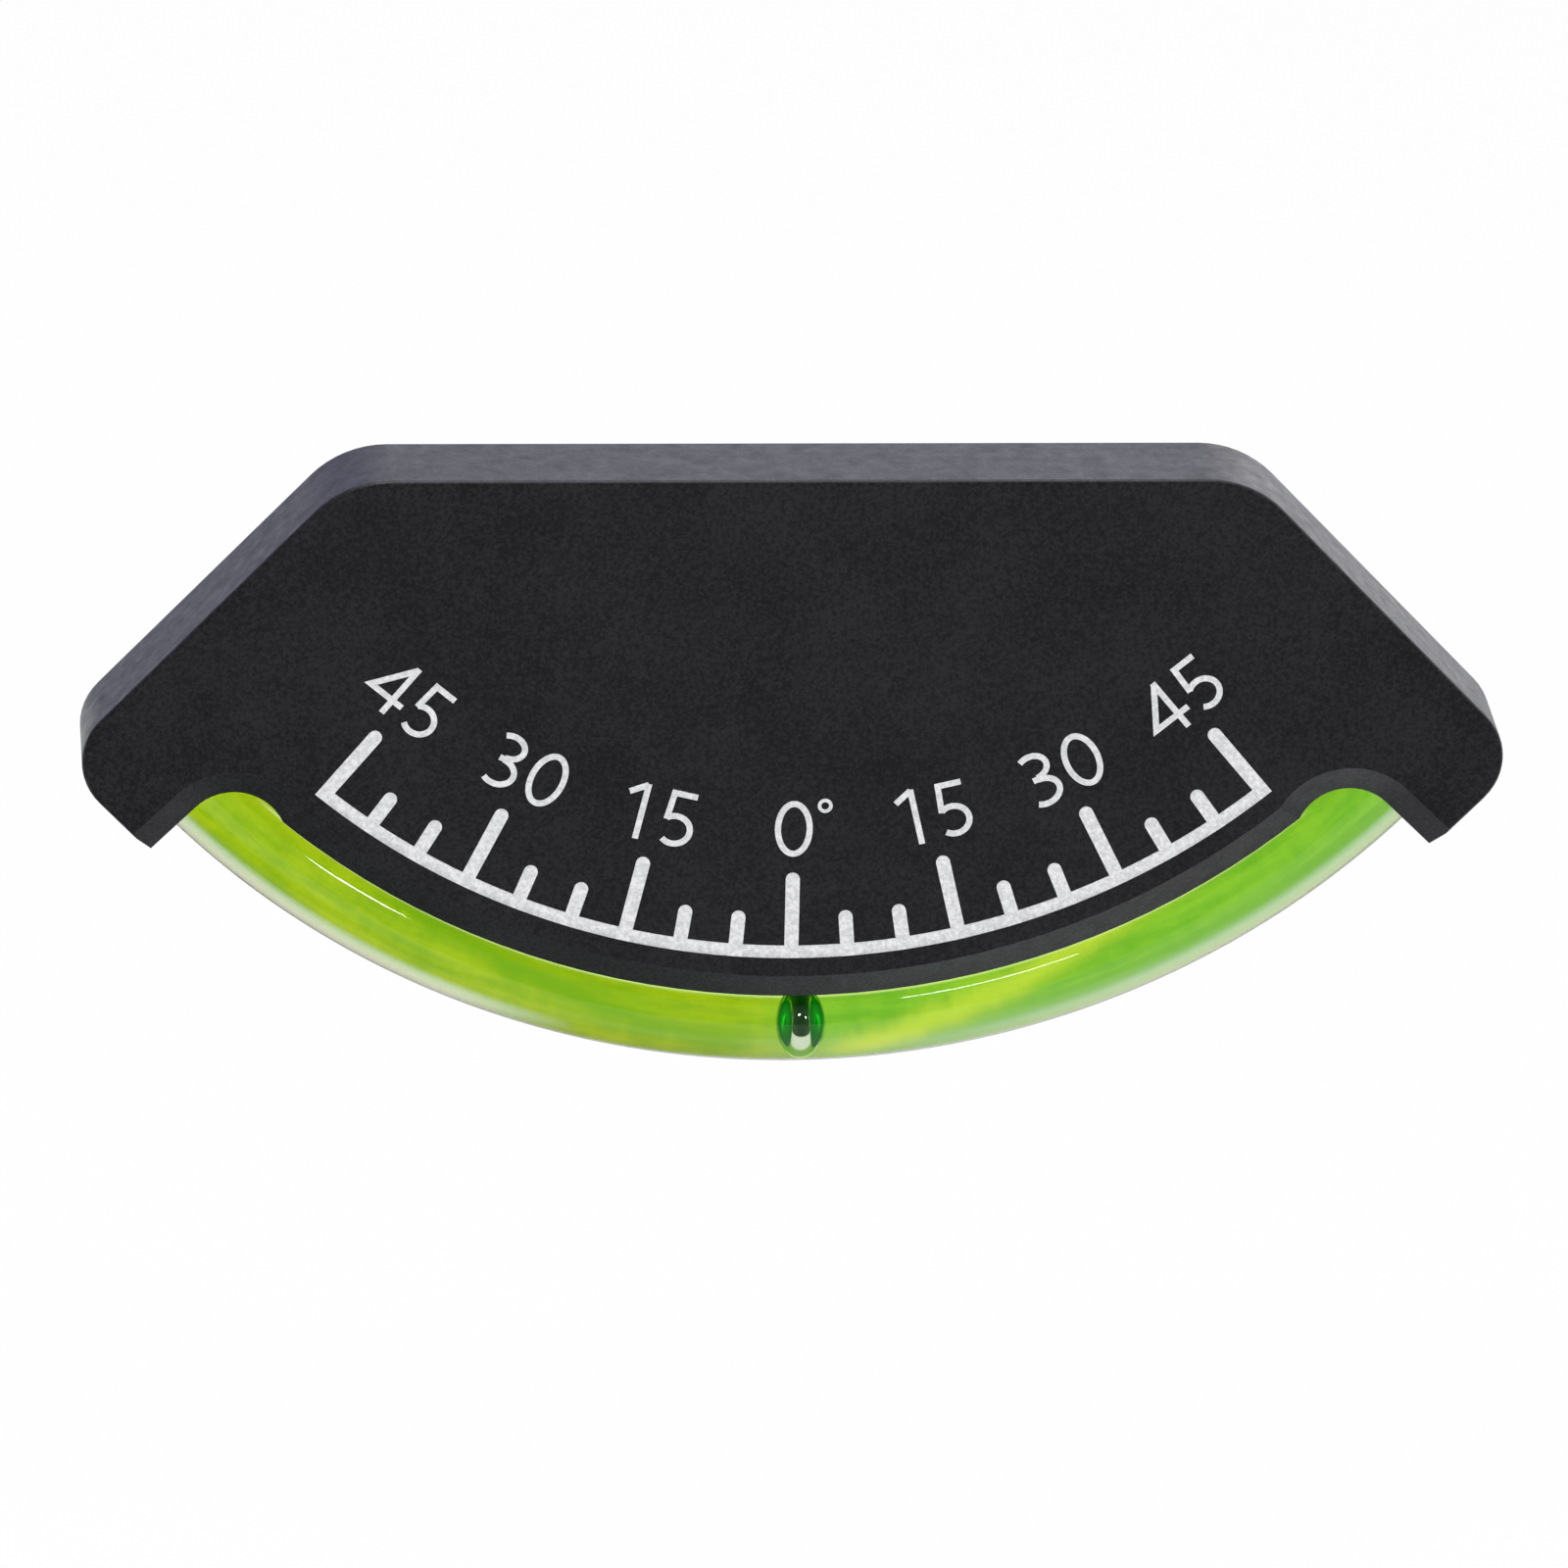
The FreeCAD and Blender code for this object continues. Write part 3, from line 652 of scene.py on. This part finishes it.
def finish_form(form, name, materials, place=Matrix.Identity(4)):
    """Object from a bmesh, its normals outwards and its place in its mesh."""
    bmesh.ops.recalc_face_normals(form, faces=form.faces)
    mesh = bpy.data.meshes.new(name)
    form.to_mesh(mesh)
    form.free()
    mesh.transform(place)
    for material in materials:
        mesh.materials.append(material)
    made = bpy.data.objects.new(name, mesh)
    bpy.context.scene.collection.objects.link(made)
    return made


def draw_sign(form, sign, angle, shift):
    """Adds one digit, its foot on the foot circle, turned with the tick at an angle.

    Each stroke is a little higher than the one before, so that no two faces lie in one plane.
    """
    turn = Matrix.Rotation(angle, 2)
    for index, (points, closed) in enumerate(strokes_of(sign)):
        placed = []
        for x, y in points:
            flat = Vector((shift + x * DIGIT_HEIGHT, y * DIGIT_HEIGHT - DIGIT_FOOT_RADIUS))
            placed.append(turn @ flat)
        high = NUMERAL_HEIGHT * (1 + STROKE_STEP * index)
        ribbon(form, placed, STROKE, 0.0, high, closed)


def make_numerals(paint):
    """Numerals of the scale, each label one piece. The one in the middle carries the degree ring."""
    made = []
    for label in range(-LABELS_EACH_SIDE, LABELS_EACH_SIDE + 1):
        form = bmesh.new()
        angle = label * TICKS_PER_LABEL * TICK_PITCH
        signs = str(abs(label) * DEGREES_PER_LABEL)
        drift = LABEL_SHIFTS[label + LABELS_EACH_SIDE]
        if len(signs) == 2:
            for sign, shift in zip(signs, (-DIGIT_SHIFT, DIGIT_SHIFT)):
                draw_sign(form, sign, angle, shift + drift)
        else:
            draw_sign(form, signs, angle, drift)
            ring = arc_points(RING_CENTRE, RING_RADIUS, RING_RADIUS, 0, 360, 32)[:-1]
            ribbon(form, ring, RING_STROKE, 0.0, NUMERAL_HEIGHT, True)
        side = "left" if label < 0 else "right" if label > 0 else "middle"
        name = "numeral_" + signs + "_" + side
        made.append(finish_form(form, name, [paint], drawing_plane(PLATE_FRONT)))
    return made


# Stage

def through_tube(tree, path, mirrored):
    """White for a ray that passed straight through the tube, and another colour for one mirrored inside."""
    bounced = maths(tree, "GREATER_THAN", path.outputs["Glossy Depth"], 0.5)
    return blend(tree, bounced, WHITE, mirrored)


def make_floor():
    """Pale floor that keeps the object's shadow and reads as white where the camera looks at it.

    Like the studio around it, it looks different to two other kinds of rays. Mirrored rays find bright and
    dark patches, which shade the plate's edges and bevel. Rays that were mirrored inside the tube find it
    nearly black in front of the object and green behind it, which shows in the ball.
    """
    level = TUBE_LOW.z - FLOOR_DROP
    form = bmesh.new()
    signs = ((-1, -1), (1, -1), (1, 1), (-1, 1))
    form.faces.new([form.verts.new((x * FLOOR_REACH, y * FLOOR_REACH, level)) for x, y in signs])
    made, tree, shader, place = start_material("pale_floor")
    cloud = noise(tree, place, 0.3, 2.0, 0.5)
    pale = blend(tree, cloud, (0.84, 0.84, 0.84, 1), (0.87, 0.87, 0.87, 1))
    tree.links.new(pale, shader.inputs["Base Color"])
    shader.inputs["Roughness"].default_value = 0.9
    shader.inputs["Specular IOR Level"].default_value = 0.1
    path = add(tree, "ShaderNodeLightPath")
    gloss = path.outputs["Is Glossy Ray"]
    through = path.outputs["Is Transmission Ray"]
    seen = maths(tree, "MAXIMUM", path.outputs["Is Camera Ray"], through)
    split = add(tree, "ShaderNodeSeparateXYZ", {"Vector": place})
    front = ramp(tree, split.outputs["Y"], -0.13, -0.05)
    shade = blend(tree, front, (0.56, 0.56, 0.58, 1), (1.1, 1.12, 1.15, 1))
    for x, y, reach_x, reach_y, tone in FLOOR_PATCHES:
        along = maths(tree, "DIVIDE", maths(tree, "SUBTRACT", split.outputs["X"], x), reach_x)
        away = maths(tree, "DIVIDE", maths(tree, "SUBTRACT", split.outputs["Y"], y), reach_y)
        off = maths(tree, "ADD", maths(tree, "MULTIPLY", along, along), maths(tree, "MULTIPLY", away, away))
        shade = blend(tree, ramp(tree, off, 1.0, 0.2), shade, tone)
    tone = blend(tree, gloss, WHITE, shade)
    # Painted for rays mirrored inside the tube: dark in front of the object, and the tube's green cast on the
    # floor behind it
    inside = blend(tree, ramp(tree, split.outputs["Y"], -0.1, -0.075), (0.02, 0.035, 0.02, 1), WHITE)
    inside = blend(tree, ramp(tree, split.outputs["Y"], 0.01, 0.04), inside, (0.3, 0.55, 0.05, 1))
    tone = blend(tree, through, tone, through_tube(tree, path, inside))
    glow = add(tree, "ShaderNodeEmission", {"Color": tone, "Strength": 1.0})
    share = maths(tree, "MAXIMUM", maths(tree, "MULTIPLY", seen, FLOOR_GLOW), gloss)
    mixed = add(tree, "ShaderNodeMixShader", {0: share, 1: shader.outputs[0], 2: glow.outputs[0]})
    tree.links.new(mixed.outputs[0], tree.nodes["Material Output"].inputs["Surface"])
    floor = finish_form(form, "floor", [made])


def make_world():
    """White studio for the camera and straight through the tube, but darker in front for mirrored rays."""
    world = bpy.data.worlds.new("studio")
    bpy.context.scene.world = world
    world.use_nodes = True
    tree = world.node_tree
    way = add(tree, "ShaderNodeTexCoord").outputs["Generated"]
    split = add(tree, "ShaderNodeSeparateXYZ", {"Vector": way})
    path = add(tree, "ShaderNodeLightPath")
    across = ramp(tree, split.outputs["X"], -0.22, 0.45)
    behind = blend(tree, across, (0.58, 0.58, 0.84, 1), (2.1, 2.1, 2.2, 1))
    front = ramp(tree, split.outputs["Y"], -0.35, 0.1)
    gloss = blend(tree, front, (0.16, 0.16, 0.17, 1), behind)
    inside = blend(tree, front, (0.015, 0.025, 0.015, 1), WHITE)
    soft = (0.66, 0.66, 0.67, 1)
    lit = blend(tree, path.outputs["Is Glossy Ray"], soft, gloss)
    lit = blend(tree, path.outputs["Is Transmission Ray"], lit, through_tube(tree, path, inside))
    colour = blend(tree, path.outputs["Is Camera Ray"], lit, WHITE)
    tree.links.new(colour, tree.nodes["Background"].inputs["Color"])
    tree.nodes["Background"].inputs["Strength"].default_value = 1.0


def area_lamp(name, size_x, size_y, power):
    """Rectangular soft lamp, not yet in its place."""
    data = bpy.data.lights.new(name, "AREA")
    data.shape = "RECTANGLE"
    data.size = size_x
    data.size_y = size_y
    data.energy = power
    lamp = bpy.data.objects.new(name, data)
    bpy.context.scene.collection.objects.link(lamp)
    return lamp


def view_axes():
    """Right, upward and forward directions of the camera."""
    turn = math.radians(VIEW_AZIMUTH)
    rise = math.radians(VIEW_ELEVATION)
    roll = math.radians(VIEW_ROLL)
    look = Vector((-math.sin(turn) * math.cos(rise), math.cos(turn) * math.cos(rise), -math.sin(rise)))
    level = Vector((math.cos(turn), math.sin(turn), 0))
    upright = level.cross(look)
    right = level * math.cos(roll) + upright * math.sin(roll)
    above = upright * math.cos(roll) - level * math.sin(roll)
    return right, above, look


def tube_glint(angle, tilt, distance):
    """Spot on the tube at an angle of the arc and a tilt upwards, and the way to a lamp mirrored there."""
    view = -view_axes()[2]
    along = Vector((math.cos(angle), 0, math.sin(angle)))
    facing = (view - along * view.dot(along)).normalized()
    upward = along.cross(facing) * -1
    if upward.z < 0:
        upward = -upward
    normal = facing * math.cos(tilt) + upward * math.sin(tilt)
    middle = ARC_CENTRE + Vector((math.sin(angle), 0, -math.cos(angle))) * TUBE_PATH_RADIUS
    ray = normal * (2 * normal.dot(view)) - view
    return middle + normal * TUBE_RADIUS, ray * distance


def make_strip(name, start, end, tilt, radiance):
    """Slim lamp whose mirror image runs along the tube between two angles."""
    ends = [tube_glint(math.radians(angle), math.radians(tilt), STRIP_DISTANCE) for angle in (start, end)]
    spots = [point + ray for point, ray in ends]
    middle = (spots[0] + spots[1]) / 2
    target = (ends[0][0] + ends[1][0]) / 2
    length = (spots[1] - spots[0]).length
    back = (middle - target).normalized()
    across = (spots[1] - spots[0]).normalized()
    across = (across - back * across.dot(back)).normalized()
    axes = Matrix((across, back.cross(across), back)).transposed().to_4x4()
    lamp = area_lamp(name, length, STRIP_WIDTH, radiance * math.pi * length * STRIP_WIDTH)
    lamp.matrix_world = Matrix.Translation(middle) @ axes


def make_lamps():
    """Soft lamp above the object, and the strips for the glints."""
    key = area_lamp("key", *KEY_SIZE, KEY_POWER)
    key.location = KEY_PLACE
    key.rotation_mode = "QUATERNION"
    key.rotation_quaternion = (Vector((0, 0, 0)) - KEY_PLACE).to_track_quat("-Z", "Y")
    for strip in STRIPS:
        make_strip(*strip)


def make_camera():
    """Camera at the photograph's angle."""
    right, above, look = view_axes()
    aim = Vector((0, PLATE_FRONT, ARC_CENTRE.z - SCALE_RADIUS))
    spot = aim - look * VIEW_DISTANCE - right * VIEW_SHIFT_RIGHT + above * VIEW_SHIFT_UP
    data = bpy.data.cameras.new("camera")
    data.lens = LENS
    data.sensor_width = SENSOR
    data.clip_start = 0.05
    data.clip_end = 100.0
    camera = bpy.data.objects.new("camera", data)
    axes = Matrix((right, above, -look)).transposed().to_4x4()
    camera.matrix_world = Matrix.Translation(spot) @ axes
    bpy.context.scene.collection.objects.link(camera)
    bpy.context.scene.camera = camera


def dress(node, material):
    """Gives a node of the frame its material."""
    item = frame["nodes"][node]
    item.data.materials.clear()
    item.data.materials.append(material)


def seat(piece, slot, *nodes):
    """A new piece rides on the body, and may stand for nodes, which it hides. The slot is not used."""
    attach(piece, "body")
    if nodes:
        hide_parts(*nodes)


def main():
    """Dresses the frame's nodes, adds the scene's own pieces and sets the stage."""
    shell = moulded_plastic("black_moulded_shell", rgb(8, 8, 10), rgb(36, 36, 41), 0.3 * MM, 0.42, 1.4, 1.2)
    cover = moulded_plastic("black_back_cover", rgb(18, 18, 19), rgb(30, 30, 31), 0.3 * MM, 0.55, 1.4, 0.6)
    plugs = moulded_plastic("black_plug_plastic", rgb(20, 20, 20), rgb(30, 30, 30), 0.2 * MM, 0.4, 1.45)
    paint = scale_paint()
    rubber = soft_rubber("black_rubber", rgb(20, 20, 20))
    zinc = polished_steel("blackened_screw_steel", rgb(92, 92, 96), 0.3)
    wall = clear_acrylic("clear_tube_wall", ACRYLIC_IOR)
    bore = clear_acrylic("clear_tube_bore", 1.0)

    dress("housing", shell)
    dress("back_cover", cover)
    dress("cover_screws", zinc)
    dress("ball", polished_steel("polished_steel", rgb(228, 230, 229), 0.03))
    dress("mounting_pad", foam_tape())
    for side in ("left", "right"):
        dress("plug_" + side, plugs)
        dress("plug_seal_" + side, rubber)
        dress("end_cushion_" + side, rubber)

    seat(make_tube(wall, bore), "curved_tube", "curved_tube")
    seat(make_liquid(damping_liquid_material()), "damping_liquid", "damping_liquid")
    seat(make_scale(paint), "scale_marks", "scale_marks")
    for numeral in make_numerals(paint):
        seat(numeral, "scale_marks")

    make_floor()
    make_world()
    make_lamps()
    make_camera()
    bpy.context.scene.view_settings.view_transform = "Standard"


main()
